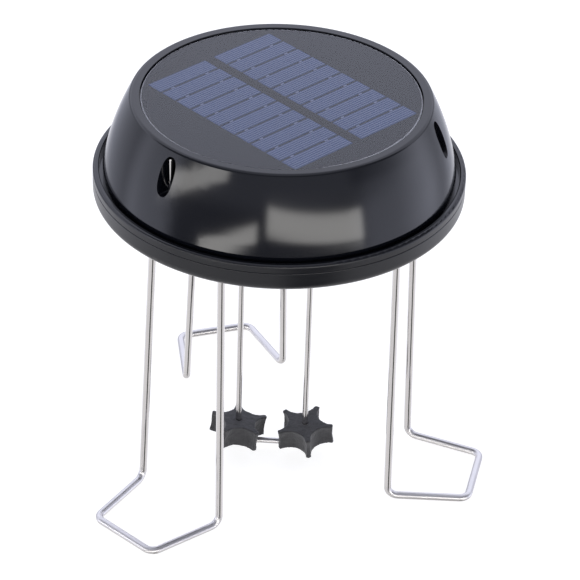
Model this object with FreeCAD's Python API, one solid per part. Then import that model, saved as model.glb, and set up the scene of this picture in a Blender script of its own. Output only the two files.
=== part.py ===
import FreeCAD, Part
import math
import os

# A solar bird-bath agitator, in millimetres.  +Z is up.  The origin is on the housing's axis,
# on the surface that the three wire feet stand on.  The rear leg lies towards +Y.

Vector = FreeCAD.Vector
UP = Vector(0, 0, 1)
ORIGIN = Vector(0, 0, 0)

# ---- housing -------------------------------------------------------------------------------------
panel_radius = 55.2          # solar panel disc
panel_gap = 0.4              # free gap round the panel in its recess
rim_width = 3.7              # flat rim round the recess
cone_spread = 10.7           # how much wider the cone's foot is than the rim
cone_bulge = 1.2             # how far the cone's side bows outwards
moat_width = 1.6             # channel between the cone's foot and the lip
lip_width = 2.4              # raised lip round the housing
underside_z = 127.7          # underside of the housing above the ground
housing_height = 43.1        # underside to rim
parting_height = 8.4         # underside to the line where shell and base meet
lip_height = 11.9            # underside to the top of the lip
cone_foot_height = 13.1      # underside to the foot of the cone
moat_depth = 3.0             # top of the lip to the bottom of the channel
shell_wall = 2.2
base_wall = 2.2
base_floor = 2.6
rim_edge_round = 1.5
lip_outer_round = 1.2
lip_inner_round = 0.4
parting_edge_round = 0.4     # on both sides of the parting line
base_edge_round = 3.6
base_inner_round = 1.6
tongue_end_gap = 1.3         # base's floor to the shell's tongue
tongue_width = 2.6
tongue_gap = 0.15
seal_section = 1.5           # round rubber seal in the tongue's groove
seal_squeeze_gap = 0.03
seal_groove_room = 0.2       # seal's groove taller than the seal
seal_groove_depth_room = 0.1

# ---- solar panel ---------------------------------------------------------------------------------
panel_setback = 0.5          # rim down to the panel's face
cover_thickness = 1.2        # clear cast cover, with the cells set in its underside
cover_edge_round = 0.6
board_thickness = 1.6
adhesive_thickness = 0.3
adhesive_margin = 0.4
ledge_width = 3.6
ledge_thickness = 2.2
cell_columns = 10
cell_rows = 2
cell_pitch = 8.53
cell_width = 7.6
cell_length = 29.9
cell_row_gap = 4.9
cell_thickness = 0.3
cell_bed_gap = 0.05
panel_turn = -64.0           # direction of the row of cells, degrees from +X
ribbon_width = 1.6
ribbon_thickness = 0.12
ribbon_end_gap = 0.05
ribbon_place = 0.3           # cell's middle to the tabs, as a share of its length
pad_diameter = 4.0
pad_thickness = 0.15
pad_spacing = 12.0

# ---- slots in the cone, with pegs -----------------------------------------------------------------
slot_width = 7.2
slot_length = 14.8
slot_below_rim = 2.5
slot_fullness = 2.4          # 2 would be an ellipse, more is squarer
peg_diameter = 1.5
peg_clearance = 2.75         # pocket's back to the peg
peg_offset = 1.6             # peg to one side of the slot's middle
peg_below_slot_top = 1.6
peg_seat = 3.0               # pocket's floor, which holds the peg
peg_gap = 0.03
peg_tip_round = 0.4
pocket_wall = 1.6
pocket_roof = 0.6
pocket_back_inset = 0.6      # recess wall to the pocket's back

# ---- legs ----------------------------------------------------------------------------------------
leg_count = 3
first_leg_angle = 90.0
wire_diameter = 3.1
leg_inset = 22.0             # housing's outer face to the legs, at the underside
leg_splay = 2.5              # how much further out the uprights stand at the ground
leg_top_spread = 18.4        # half the distance between a leg's uprights at the underside
leg_foot_spread = 22.0       # the same at the ground
toe_reach = 13.1             # end bar beyond the housing's outer face
toe_spread = 15.9            # half the end bar, corner to corner
leg_bend = 4.25
socket_depth = 12.0
socket_wall = 2.1
socket_gap = 0.05
socket_end_gap = 0.5
socket_end_wall = 1.6

# ---- motor ---------------------------------------------------------------------------------------
motor_radius = 16.0
motor_height = 21.0
can_wall = 0.9
magnet_thickness = 2.6
magnet_gap = 0.1
magnet_height = 10.0
magnet_span = 130.0
magnet_above_can = 1.2
air_gap = 0.8
core_height = 8.0
core_pole_neck = 4.0
core_pole_tip = 2.0
core_hub_radius = 3.6
core_slot_width = 3.0
winding_thickness = 1.9
winding_gap = 0.1
shaft_diameter = 2.0
running_gap = 0.04
bush_radius = 3.0
bush_length = 3.0
end_cap_thickness = 2.6
commutator_radius = 2.6
commutator_length = 3.6
commutator_above_windings = 0.4
commutator_slit_angle = 9.0
brush_gap = 0.05
brush_thickness = 0.4
terminal_width = 2.4
terminal_height = 4.0
terminal_thickness = 0.5
terminal_from_brush = 4.0
brush_drop = 1.2             # end cap's underside to the brush arms
brush_arm_height = 0.8
motor_ring_wall = 1.8
motor_ring_height = 9.0
motor_ring_gap = 0.15
clamp_thickness = 1.5
clamp_width = 10.0
clamp_post_radius = 3.2
clamp_screw_reach = 5.5      # motor's side to the clamp screws
clamp_opening_radius = 8.5
clamp_ring_width = 2.5

# ---- shaft exit, hub and agitator ----------------------------------------------------------------
collar_radius = 7.0
collar_drop = 2.8
seal_radius = 4.6
seal_height = 2.6
seal_bore_gap = 0.9          # shaft to the seal's body, above its lip
seal_lip_height = 1.0
seal_lip_gap = 0.07          # lip to the turning shaft
seal_recess = 0.2
hub_gap = 0.8
hub_height = 9.0
hub_radius = 18.0
hub_plate_thickness = 2.6
hub_boss_radius = 5.2
hub_wire_boss_radius = 3.3
hub_rib_width = 2.4
hub_edge_round = 0.8
hub_shaft_depth = 6.6
hub_fit_gap = 0.02
grub_radius = 1.25
grub_length = 3.4
agitator_wire_diameter = 2.45
agitator_spread = 14.0       # half the distance between the agitator's two uprights
agitator_floor_gap = 1.8     # ground to the underside of its crossbar
agitator_bend = 4.0
agitator_depth = 7.0         # wire inside the hub
agitator_angle = -20.3       # where the agitator stands at rest, degrees from +X
star_points = 5
star_radius = 12.2
star_waist = 6.9
star_tip_width = 2.4
star_tip_round = 0.6
star_thickness = 9.0
star_height = 8.9            # ground to the star's middle
star_grip_gap = 0.02
star_left_turn = 24.7
star_right_turn = -7.4
star_left_tilt = (7.0, 20.0)     # lean in degrees, and the direction that it leans to
star_right_tilt = (-6.0, 55.0)

# ---- batteries -----------------------------------------------------------------------------------
cell_diameter = 14.2
battery_length = 50.0
battery_cap_radius = 2.75
battery_cap_height = 1.0
battery_gap = 1.2            # between the two cells
battery_end_room = 2.0
battery_side_room = 0.9
battery_wall = 1.6
battery_floor_gap = 0.5
battery_roof_gap = 0.6
battery_from_motor = 2.4     # motor ring to the battery box
door_margin = 3.0
door_screw_margin = 6.1
door_thickness = 1.2
door_gap = 0.2
door_seal_thickness = 0.4
door_seal_width = 1.3
door_corner = 2.5
door_screw_spread = 0.32     # middle to each screw, as a share of the door's length
door_head_recess = 0.6
contact_thickness = 0.4
contact_gap = 0.1
contact_tab_width = 3.0
spring_wire = 0.6
spring_radius = 3.6

# ---- control board and switch --------------------------------------------------------------------
control_length = 30.0
control_depth = 22.0
control_thickness = 1.6
control_stand_height = 5.0
control_from_motor = 7.0
control_post_radius = 2.6
control_post_spacing = 24.0
switch_x = -42.0
switch_y = 20.0
switch_length = 13.0
switch_width = 7.4
switch_body_height = 6.0
switch_wall = 1.0
switch_cavity_height = 2.6
switch_travel = 4.0
slider_length = 3.6
slider_width = 3.0
slider_flange = 0.9
slider_gap = 0.3
slider_recess_depth = 1.2
slider_recess_margin = 2.4

# ---- fasteners and leads -------------------------------------------------------------------------
screw_radius = 1.5
screw_head_radius = 2.8
screw_head_height = 2.0
screw_gap = 0.05
head_gap = 0.2
screw_head_recess = 1.0      # underside to the housing screws' crowns
pilot_end_gap = 0.5
housing_screw_length = 10.0
small_screw_radius = 1.0
small_head_radius = 1.9
small_head_height = 1.2
small_screw_length = 6.0
housing_screw_inset = 9.0    # housing's outer face to the screws
boss_wall = 1.9
post_gap = 0.2               # base's screw posts to the shell's bosses
boss_rise = 22.0             # height of the shell's screw bosses above the parting line
first_screw_angle = 30.0
cross_slot_width = 0.7
cross_slot_depth = 1.0
screw_point = 1.2            # length of a screw's point, as a share of its radius
lead_diameter = 1.2

# ---- places worked out from the sizes above ------------------------------------------------------
rim_z = underside_z + housing_height
parting_z = underside_z + parting_height
lip_z = underside_z + lip_height
cone_foot_z = underside_z + cone_foot_height
floor_z = underside_z + base_floor
moat_floor_z = lip_z - moat_depth
moat_under_z = moat_floor_z - shell_wall
recess_radius = panel_radius + panel_gap
rim_radius = recess_radius + rim_width
cone_foot_radius = rim_radius + cone_spread
lip_inner_radius = cone_foot_radius + moat_width
housing_radius = lip_inner_radius + lip_width
base_inner_radius = housing_radius - base_wall
tongue_radius = base_inner_radius - tongue_gap
tongue_inner_radius = tongue_radius - tongue_width
tongue_z = floor_z + tongue_end_gap
panel_face_z = rim_z - panel_setback
board_top_z = panel_face_z - cover_thickness
board_z = board_top_z - board_thickness
ledge_z = board_z - adhesive_thickness
ledge_radius = recess_radius - ledge_width
slot_top_z = rim_z - slot_below_rim
slot_middle_z = slot_top_z - slot_length / 2
pocket_z = slot_top_z - slot_length - peg_seat
pocket_back = recess_radius + pocket_back_inset
leg_top_place = housing_radius - leg_inset
leg_foot_place = leg_top_place + leg_splay
toe_place = housing_radius + toe_reach
wire_radius = wire_diameter / 2
shaft_radius = shaft_diameter / 2
motor_top_z = floor_z + motor_height
can_inner_radius = motor_radius - can_wall
magnet_radius = can_inner_radius - magnet_gap
core_radius = magnet_radius - magnet_thickness - air_gap
motor_ring_radius = motor_radius + motor_ring_gap + motor_ring_wall
clamp_post_place = motor_radius + clamp_screw_reach
collar_z = underside_z - collar_drop
hub_top_z = collar_z - hub_gap
hub_z = hub_top_z - hub_height
crossbar_z = agitator_floor_gap + agitator_wire_diameter / 2
battery_box_near = motor_ring_radius + battery_from_motor
battery_pitch = cell_diameter + battery_gap
battery_room_depth = battery_pitch + cell_diameter + 2 * battery_side_room
battery_room_length = battery_length + battery_cap_height + 2 * battery_end_room
battery_room_y = -(battery_box_near + battery_wall + battery_room_depth / 2)
door_recess_depth = door_thickness + door_seal_thickness
battery_z = floor_z + battery_floor_gap + cell_diameter / 2
battery_room_top_z = battery_z + cell_diameter / 2 + battery_roof_gap
door_y = battery_room_y - (door_screw_margin - door_margin) / 2
door_length = battery_room_length + 2 * door_margin
door_depth = battery_room_depth + door_margin + door_screw_margin
door_screw_y = battery_room_y - battery_room_depth / 2 - door_screw_margin / 2
door_screw_x = door_length * door_screw_spread
control_y = motor_ring_radius + control_from_motor + control_depth / 2
control_z = floor_z + control_stand_height
housing_screw_place = housing_radius - housing_screw_inset
boss_radius = screw_radius + boss_wall
screw_seat_z = underside_z + screw_head_recess + screw_head_height
boss_z = moat_under_z
post_top_z = boss_z - post_gap
leg_angles = [first_leg_angle + i * 360.0 / leg_count for i in range(leg_count)]
screw_angles = [first_screw_angle + i * 360.0 / leg_count for i in range(leg_count)]


# ---- shape helpers -------------------------------------------------------------------------------
def disc(radius, bottom, top, x=0.0, y=0.0):
    """An upright cylinder between two heights."""
    return Part.makeCylinder(radius, top - bottom, Vector(x, y, bottom), UP)


def ring(outer, inner, bottom, top, x=0.0, y=0.0):
    """An upright tube between two heights."""
    return disc(outer, bottom, top, x, y).cut(disc(inner, bottom - 1, top + 1, x, y))


def block(length, depth, bottom, top, x=0.0, y=0.0):
    """A box centred on (x, y) between two heights."""
    corner = Vector(x - length / 2, y - depth / 2, bottom)
    return Part.makeBox(length, depth, top - bottom, corner)


def rounded_block(length, depth, bottom, top, corner, x=0.0, y=0.0):
    """A box with its four upright edges rounded."""
    solid = block(length, depth, bottom, top, x, y)
    upright = [e for e in solid.Edges if abs(e.tangentAt(e.FirstParameter).z) > 0.9]
    return solid.makeFillet(corner, upright)


def turned(start, *steps):
    """A solid of revolution about Z.  A step is a point (r, z), or a pair of points for an arc."""
    edges = []
    here = start
    for step in list(steps) + [start]:
        if isinstance(step[0], tuple):
            via, there = step
            arc = Part.Arc(Vector(here[0], 0, here[1]), Vector(via[0], 0, via[1]),
                           Vector(there[0], 0, there[1]))
            edges.append(arc.toShape())
        else:
            there = step
            edges.append(Part.makeLine(Vector(here[0], 0, here[1]), Vector(there[0], 0, there[1])))
        here = there
    face = Part.Face(Part.Wire(edges))
    return face.revolve(ORIGIN, UP, 360)


def round_circles(solid, radius, circles):
    """Rounds the circular edges of the given radius and height."""
    picked = []
    for edge in solid.Edges:
        if not isinstance(edge.Curve, Part.Circle):
            continue
        for circle_radius, height in circles:
            same_radius = abs(edge.Curve.Radius - circle_radius) < 0.01
            if same_radius and abs(edge.Curve.Center.z - height) < 0.01:
                picked.append(edge)
    return solid.makeFillet(radius, picked)


def about_axis(shape, angle):
    """A copy turned about the housing's axis."""
    copy = shape.copy()
    copy.rotate(ORIGIN, UP, angle)
    return copy


def bent_path(points, bends):
    """Straight runs through the points, with a tangent arc of the given radius at each corner."""
    edges = []
    here = points[0]
    for corner, after, bend in zip(points[1:-1], points[2:], bends):
        incoming = corner.sub(here).normalize()
        outgoing = after.sub(corner).normalize()
        turn = incoming.getAngle(outgoing)
        reach = bend * math.tan(turn / 2)
        arc_start = corner.sub(incoming * reach)
        arc_end = corner.add(outgoing * reach)
        inward = outgoing.sub(incoming).normalize()
        depth = bend / math.cos(turn / 2) - bend
        edges.append(Part.makeLine(here, arc_start))
        edges.append(Part.Arc(arc_start, corner.add(inward * depth), arc_end).toShape())
        here = arc_end
    edges.append(Part.makeLine(here, points[-1]))
    return Part.Wire(edges)


def rod(points, diameter, bends):
    """A round wire along a bent path."""
    path = bent_path(points, bends)
    section = Part.Wire(Part.makeCircle(diameter / 2, points[0], points[1].sub(points[0])))
    return path.makePipeShell([section], True, False)


def lead(points, diameter):
    """A thin insulated lead, with bends as large as its runs allow."""
    points = [Vector(*p) for p in points]
    bends = []
    for before, corner, after in zip(points, points[1:], points[2:]):
        turn = corner.sub(before).getAngle(after.sub(corner))
        shorter = min(corner.sub(before).Length, after.sub(corner).Length)
        bends.append(0.45 * shorter / math.tan(turn / 2))
    print("lead bends", [round(b, 1) for b in bends])
    return rod(points, diameter, bends)


def screw(radius, head_radius, head_height, length, seat, tip_direction, x, y):
    """A pan-head screw whose head rests on a seat at the given height."""
    down = tip_direction * length
    shank = Part.makeCylinder(radius, length, Vector(x, y, seat), UP * tip_direction)
    head = Part.makeCylinder(head_radius, head_height, Vector(x, y, seat), UP * -tip_direction)
    crown_z = seat - tip_direction * head_height
    head_edges = [e for e in head.Edges if abs(e.BoundBox.Center.z - crown_z) < 0.01]
    head = head.makeFillet(head_height * 0.35, [e for e in head_edges if e.Length > head_radius])
    low = min(crown_z, crown_z + tip_direction * cross_slot_depth)
    one = block(head_radius * 1.3, cross_slot_width, low, low + cross_slot_depth, x, y)
    two = block(cross_slot_width, head_radius * 1.3, low, low + cross_slot_depth, x, y)
    tip = Part.makeCone(radius, radius * 0.3, radius * screw_point, Vector(x, y, seat + down),
                        UP * tip_direction)
    return head.fuse([shank, tip]).cut(one.fuse(two)).removeSplitter()


def polar(radius, angle, z=0.0):
    turn = math.radians(angle)
    return Vector(radius * math.cos(turn), radius * math.sin(turn), z)


def save(name, shape):
    """Writes one node.  A group of separate solids is a compound."""
    for solid in shape.Solids:
        if not solid.isValid() or solid.Volume <= 0:
            print("bad solid in", name, solid.Volume)
    shape.exportStep("parts/" + name + ".step")


# ---- housing -------------------------------------------------------------------------------------
def cone_radius(z):
    """Radius of the cone's bowed outer face at a height, above or below its ends as well."""
    chord = math.hypot(cone_spread, rim_z - cone_foot_z)
    bow = (chord ** 2 / 4 + cone_bulge ** 2) / (2 * cone_bulge)
    middle_r = (rim_radius + cone_foot_radius) / 2
    middle_z = (rim_z + cone_foot_z) / 2
    out_r = (rim_z - cone_foot_z) / chord
    out_z = cone_spread / chord
    centre_r = middle_r - out_r * (bow - cone_bulge)
    centre_z = middle_z - out_z * (bow - cone_bulge)
    return centre_r + math.sqrt(bow ** 2 - (z - centre_z) ** 2)


def envelope():
    """The space within the middle of the cone's wall, used to trim what is moulded to it."""
    inset = shell_wall / 2
    top_z = rim_z - inset
    middle_z = (top_z + cone_foot_z) / 2
    foot_radius = cone_foot_radius - inset
    return turned((0, top_z), (cone_radius(top_z) - inset, top_z),
                  ((cone_radius(middle_z) - inset, middle_z), (foot_radius, cone_foot_z)),
                  (foot_radius, tongue_z), (0, tongue_z))


def shell_body():
    """The turned form of the top shell: rim, recess, ledge, cone, channel, lip and tongue."""
    under_ledge_z = ledge_z - ledge_thickness
    inner_foot = cone_foot_radius - shell_wall
    inner_middle_z = (moat_under_z + under_ledge_z) / 2
    middle_z = (rim_z + cone_foot_z) / 2
    inner_low = min(cone_radius(moat_under_z), cone_foot_radius) - shell_wall
    body = turned(
        (recess_radius, rim_z),
        (rim_radius, rim_z),
        ((cone_radius(middle_z), middle_z), (cone_foot_radius, cone_foot_z)),
        (cone_foot_radius, moat_floor_z),
        (lip_inner_radius, moat_floor_z),
        (lip_inner_radius, lip_z),
        (housing_radius, lip_z),
        (housing_radius, parting_z),
        (tongue_radius, parting_z),
        (tongue_radius, tongue_z),
        (tongue_inner_radius, tongue_z),
        (tongue_inner_radius, moat_under_z),
        (inner_low, moat_under_z),
        (inner_foot, cone_foot_z),
        ((cone_radius(inner_middle_z) - shell_wall, inner_middle_z),
         (cone_radius(under_ledge_z) - shell_wall, under_ledge_z)),
        (ledge_radius, under_ledge_z),
        (ledge_radius, ledge_z),
        (recess_radius, ledge_z))
    body = round_circles(body, rim_edge_round, [(rim_radius, rim_z)])
    body = round_circles(body, lip_inner_round, [(lip_inner_radius, lip_z)])
    body = round_circles(body, lip_outer_round, [(housing_radius, lip_z)])
    body = round_circles(body, parting_edge_round, [(housing_radius, parting_z)])
    seat = seal_section + seal_groove_room
    seal_groove = ring(tongue_radius + 1, base_inner_radius - seal_section - seal_groove_depth_room,
                       seal_middle_z() - seat / 2, seal_middle_z() + seat / 2)
    return body.cut(seal_groove)


def seal_middle_z():
    return (tongue_z + parting_z) / 2


def oval(width, length, middle_z, start, end):
    """A full oval prism along +X, with its long way upright."""
    points = []
    count = 24
    for i in range(count):
        turn = 2 * math.pi * i / count
        across = abs(math.cos(turn)) ** (2 / slot_fullness) * width / 2
        above = abs(math.sin(turn)) ** (2 / slot_fullness) * length / 2
        points.append(Vector(start, math.copysign(across, math.cos(turn)),
                             middle_z + math.copysign(above, math.sin(turn))))
    curve = Part.BSplineCurve()
    curve.interpolate(Points=points, PeriodicFlag=True)
    return Part.Face(Part.Wire(curve.toShape())).extrude(Vector(end - start, 0, 0))


def peg(radius, bottom, top):
    """The upright peg of the slot that lies along +X, or the hole that it stands in."""
    place = pocket_back + peg_clearance + peg_diameter / 2
    return disc(radius, bottom, top, place, -peg_offset)


def tie_pegs():
    body = peg(peg_diameter / 2, pocket_z + peg_gap, slot_top_z - peg_below_slot_top)
    body = round_circles(body, peg_tip_round, [(peg_diameter / 2, slot_top_z - peg_below_slot_top)])
    return Part.makeCompound([about_axis(body, a) for a in leg_angles])


def tie_pockets(trim):
    """Closed pockets behind the slots, and the cuts for the slots and the pegs in them."""
    solid_width = slot_width + 2 * pocket_wall
    outer_end = cone_foot_radius
    back = pocket_back - pocket_wall
    solid = Part.makeBox(outer_end - back, solid_width, slot_top_z - pocket_z + pocket_roof,
                         Vector(back, -solid_width / 2, pocket_z))
    hollow = oval(slot_width, slot_length, slot_middle_z, pocket_back, outer_end + 5)
    hollow = hollow.fuse(peg(peg_diameter / 2 + peg_gap, pocket_z - 1, slot_middle_z))
    above_ledge = disc(recess_radius, ledge_z, rim_z + 1)
    solids = [about_axis(solid, a).common(trim).cut(above_ledge) for a in leg_angles]
    hollows = [about_axis(hollow, a) for a in leg_angles]
    return solids, hollows


def top_shell():
    trim = envelope()
    solids, hollows = tie_pockets(trim)
    holes = []
    for angle in screw_angles:
        place = polar(housing_screw_place, angle)
        boss = disc(boss_radius, boss_z, parting_z + boss_rise, place.x, place.y)
        solids.append(boss.common(trim))
        pilot_top = screw_seat_z + housing_screw_length + screw_radius * screw_point + pilot_end_gap
        holes.append(disc(screw_radius + screw_gap, boss_z - 1, pilot_top, place.x, place.y))
    return shell_body().fuse(solids).removeSplitter().cut(hollows + holes)


def housing_seal():
    middle = base_inner_radius - seal_section / 2 - seal_squeeze_gap
    return Part.makeTorus(middle, seal_section / 2, Vector(0, 0, seal_middle_z()), UP)


def leg_axis(side):
    """Foot end and top end of one upright of the leg that lies along +X."""
    foot = Vector(leg_foot_place, side * leg_foot_spread, wire_radius)
    top = Vector(leg_top_place, side * leg_top_spread, underside_z)
    along = top.sub(foot).normalize()
    return foot, top.add(along * socket_depth)


def leg():
    """One bent wire: two uprights, two flat runs and the end bar, along +X."""
    foot_right, top_right = leg_axis(-1)
    foot_left, top_left = leg_axis(1)
    toe_right = Vector(toe_place, -toe_spread, wire_radius)
    toe_left = Vector(toe_place, toe_spread, wire_radius)
    points = [top_right, foot_right, toe_right, toe_left, foot_left, top_left]
    return rod(points, wire_diameter, [leg_bend] * 4)


def socket_hole(side):
    """The hole for one leg end, along +X, running up from below the housing."""
    foot, top = leg_axis(side)
    along = top.sub(foot).normalize()
    start = top.sub(along * (socket_depth + 6))
    return Part.makeCylinder(wire_radius + socket_gap, socket_depth + 6 + socket_end_gap, start, along)


def leg_sockets():
    """Bosses for the six leg ends, and their holes."""
    bosses = []
    holes = []
    boss_top = underside_z + socket_depth + socket_end_gap + socket_end_wall
    for angle in leg_angles:
        for side in (-1, 1):
            foot, top = leg_axis(side)
            boss = disc(wire_radius + socket_wall, floor_z - 1, boss_top,
                        (top.x + leg_top_place) / 2, top.y)
            bosses.append(about_axis(boss, angle))
            holes.append(about_axis(socket_hole(side), angle))
    return bosses, holes


def base_dish():
    """The turned form of the base: rounded outer edge, wall and floor."""
    corner_r = housing_radius - base_edge_round
    corner_z = underside_z + base_edge_round
    slant = base_edge_round * math.sqrt(0.5)
    inner_r = base_inner_radius - base_inner_round
    inner_z = floor_z + base_inner_round
    inner_slant = base_inner_round * math.sqrt(0.5)
    dish = turned(
        (0, underside_z),
        (corner_r, underside_z),
        ((corner_r + slant, corner_z - slant), (housing_radius, corner_z)),
        (housing_radius, parting_z),
        (base_inner_radius, parting_z),
        (base_inner_radius, inner_z),
        ((inner_r + inner_slant, inner_z - inner_slant), (inner_r, floor_z)),
        (0, floor_z))
    return round_circles(dish, parting_edge_round, [(housing_radius, parting_z)])


def battery_box():
    """Walls and roof of the battery room, with the room itself and the door's seat as cuts."""
    length = battery_room_length
    depth = battery_room_depth
    outer = block(length + 2 * battery_wall, depth + 2 * battery_wall, floor_z - 1,
                  battery_room_top_z + battery_wall, 0, battery_room_y)
    room = block(length, depth, underside_z - 1, battery_room_top_z, 0, battery_room_y)
    seat = rounded_block(door_length, door_depth, underside_z - 1, underside_z + door_recess_depth,
                         door_corner, 0, door_y)
    screw_posts = []
    screw_holes = []
    for side in (-1, 1):
        x = side * door_screw_x
        screw_posts.append(disc(small_screw_radius + boss_wall, floor_z - 1, floor_z + 5.0,
                                x, door_screw_y))
        screw_holes.append(disc(small_screw_radius + screw_gap, underside_z, floor_z + 4.0,
                                x, door_screw_y))
    slits = []
    for index in range(2):
        slits.append(block(contact_thickness + 2 * contact_gap, contact_tab_width + 2 * contact_gap,
                           battery_room_top_z - 1, battery_room_top_z + battery_wall + 1,
                           -contact_x(), battery_y(index)))
    return [outer] + screw_posts, [room, seat] + screw_holes + slits


def contact_x():
    return battery_room_length / 2 - contact_thickness / 2 - contact_gap


def contact_tab_z():
    return battery_room_top_z + battery_wall + 2.0


def base_cover():
    bosses, holes = leg_sockets()
    box_solids, box_cuts = battery_box()
    solids = bosses + box_solids
    solids.append(ring(motor_ring_radius, motor_radius + motor_ring_gap, floor_z - 0.5,
                       floor_z + motor_ring_height))
    collar = round_circles(disc(collar_radius, collar_z, floor_z - 0.5), 0.6,
                           [(collar_radius, collar_z)])
    solids.append(collar)
    holes.append(disc(seal_radius, collar_z - 1, collar_z + seal_height))
    holes.append(disc(shaft_radius + 1.0, collar_z, floor_z + 1))
    for side in (-1, 1):
        x = side * clamp_post_place
        solids.append(disc(clamp_post_radius, floor_z - 0.5, motor_top_z, x, 0))
        holes.append(disc(small_screw_radius + screw_gap, motor_top_z - small_screw_length - 2,
                          motor_top_z + 1, x, 0))
        x = side * control_post_spacing / 2
        solids.append(disc(control_post_radius, floor_z - 0.5, control_z, x, control_y))
        holes.append(disc(small_screw_radius + screw_gap, control_z - 4.0, control_z + 1, x, control_y))
    for angle in screw_angles:
        place = polar(housing_screw_place, angle)
        solids.append(disc(boss_radius, floor_z - 0.5, post_top_z, place.x, place.y))
        holes.append(disc(screw_radius + 2 * screw_gap, underside_z, post_top_z + 1, place.x, place.y))
        holes.append(disc(screw_head_radius + head_gap, underside_z - 1, screw_seat_z, place.x, place.y))
    holes.append(block(slider_slot_length(), slider_width + 2 * slider_gap, underside_z - 1,
                       floor_z + 1, slider_middle_x(), switch_y))
    holes.append(rounded_block(slider_slot_length() + 2 * slider_recess_margin,
                               slider_width + 2 * slider_recess_margin,
                               underside_z - 1, underside_z + slider_recess_depth, 1.8,
                               slider_middle_x(), switch_y))
    body = base_dish().fuse(solids).removeSplitter()
    return body.cut(box_cuts).cut(holes)


def housing_screws():
    solids = []
    for angle in screw_angles:
        place = polar(housing_screw_place, angle)
        solids.append(screw(screw_radius, screw_head_radius, screw_head_height, housing_screw_length,
                            screw_seat_z, 1, place.x, place.y))
    return Part.makeCompound(solids)


# ---- solar panel ---------------------------------------------------------------------------------
def cell_places():
    places = []
    for row in range(cell_rows):
        y = (row - (cell_rows - 1) / 2) * (cell_length + cell_row_gap)
        for column in range(cell_columns):
            x = (column - (cell_columns - 1) / 2) * cell_pitch
            places.append((x, y))
    return places


def solar_cells():
    solids = []
    for x, y in cell_places():
        cell = block(cell_width, cell_length, board_top_z, board_top_z + cell_thickness, x, y)
        solids.append(about_axis(cell, panel_turn))
    return Part.makeCompound(solids)


def cell_ribbons():
    """Flat tabs that join neighbouring cells under the clear cover, one pair a gap."""
    gap = cell_pitch - cell_width
    solids = []
    for row in range(cell_rows):
        y = (row - (cell_rows - 1) / 2) * (cell_length + cell_row_gap)
        for column in range(cell_columns - 1):
            x = (column - (cell_columns - 2) / 2) * cell_pitch
            for side in (-1, 1):
                tab = block(gap - 2 * ribbon_end_gap, ribbon_width, board_top_z,
                            board_top_z + ribbon_thickness, x, y + side * cell_length * ribbon_place)
                solids.append(about_axis(tab, panel_turn))
    return Part.makeCompound(solids)


def panel_cover():
    """The clear cast disc, with a bed in its underside for the cells and their tabs."""
    cover = disc(panel_radius, board_top_z, panel_face_z)
    cover = round_circles(cover, cover_edge_round, [(panel_radius, panel_face_z)])
    beds = []
    for row in range(cell_rows):
        y = (row - (cell_rows - 1) / 2) * (cell_length + cell_row_gap)
        bed = block(cell_columns * cell_pitch, cell_length + 2 * cell_bed_gap, board_top_z - 1,
                    board_top_z + cell_thickness + cell_bed_gap, 0, y)
        beds.append(about_axis(bed, panel_turn))
    return cover.cut(beds)


def panel_board():
    return disc(panel_radius, board_z, board_top_z)


def panel_adhesive():
    return ring(panel_radius - adhesive_margin, ledge_radius + adhesive_margin, ledge_z, board_z)


def panel_pads():
    pads = []
    for side in (-1, 1):
        pads.append(disc(pad_diameter / 2, board_z - pad_thickness, board_z,
                         side * pad_spacing / 2, control_y))
    return Part.makeCompound(pads)


# ---- motor ---------------------------------------------------------------------------------------
def motor_can():
    can = disc(motor_radius, floor_z, motor_top_z)
    can = round_circles(can, 0.8, [(motor_radius, floor_z)])
    hollow = disc(can_inner_radius, floor_z + can_wall, motor_top_z + 1)
    return can.cut([hollow, disc(bush_radius, floor_z - 1, floor_z + can_wall + 1)])


def bush(bottom):
    return ring(bush_radius, shaft_radius + running_gap, bottom, bottom + bush_length)


def motor_end_cap():
    bottom = motor_top_z - end_cap_thickness
    cap = disc(can_inner_radius, bottom, motor_top_z)
    cuts = [disc(bush_radius, bottom - 1, motor_top_z + 1)]
    for side in (-1, 1):
        cuts.append(block(terminal_thickness, terminal_width, bottom - 1, motor_top_z + 1,
                          side * terminal_place(), 0))
    return cap.cut(cuts)


def terminal_place():
    return commutator_radius + brush_gap + brush_thickness + terminal_from_brush


def motor_terminals():
    """Two tabs through the end cap: leads outside, brush arms inside."""
    solids = []
    bottom = motor_top_z - end_cap_thickness
    for side in (-1, 1):
        solids.append(block(terminal_thickness, terminal_width, bottom - brush_drop,
                            motor_top_z + terminal_height, side * terminal_place(), 0))
    return Part.makeCompound(solids)


def motor_brushes():
    """Spring arms that reach from the tabs to the commutator."""
    top = motor_top_z - end_cap_thickness - brush_drop
    bottom = top - brush_arm_height
    near = commutator_radius + brush_gap
    solids = []
    for side in (-1, 1):
        far = terminal_place() + terminal_thickness / 2
        arm = block(far - near, brush_thickness, bottom, top, side * (far + near) / 2, 0)
        shoe = block(brush_thickness, terminal_width, bottom - brush_arm_height, top,
                     side * (near + brush_thickness / 2), 0)
        solids.append(arm.fuse(shoe).removeSplitter())
    return Part.makeCompound(solids)


def magnet_z():
    return floor_z + can_wall + magnet_above_can


def motor_magnets():
    solids = []
    middle = magnet_radius - magnet_thickness
    full = ring(magnet_radius, middle, magnet_z(), magnet_z() + magnet_height)
    for start in (0, 180):
        wedge = Part.makeCylinder(magnet_radius + 1, magnet_height + 2,
                                  Vector(0, 0, magnet_z() - 1), UP, magnet_span)
        wedge.rotate(ORIGIN, UP, start - magnet_span / 2)
        solids.append(full.common(wedge))
    return Part.makeCompound(solids)


def core_z():
    return magnet_z() + (magnet_height - core_height) / 2


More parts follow.
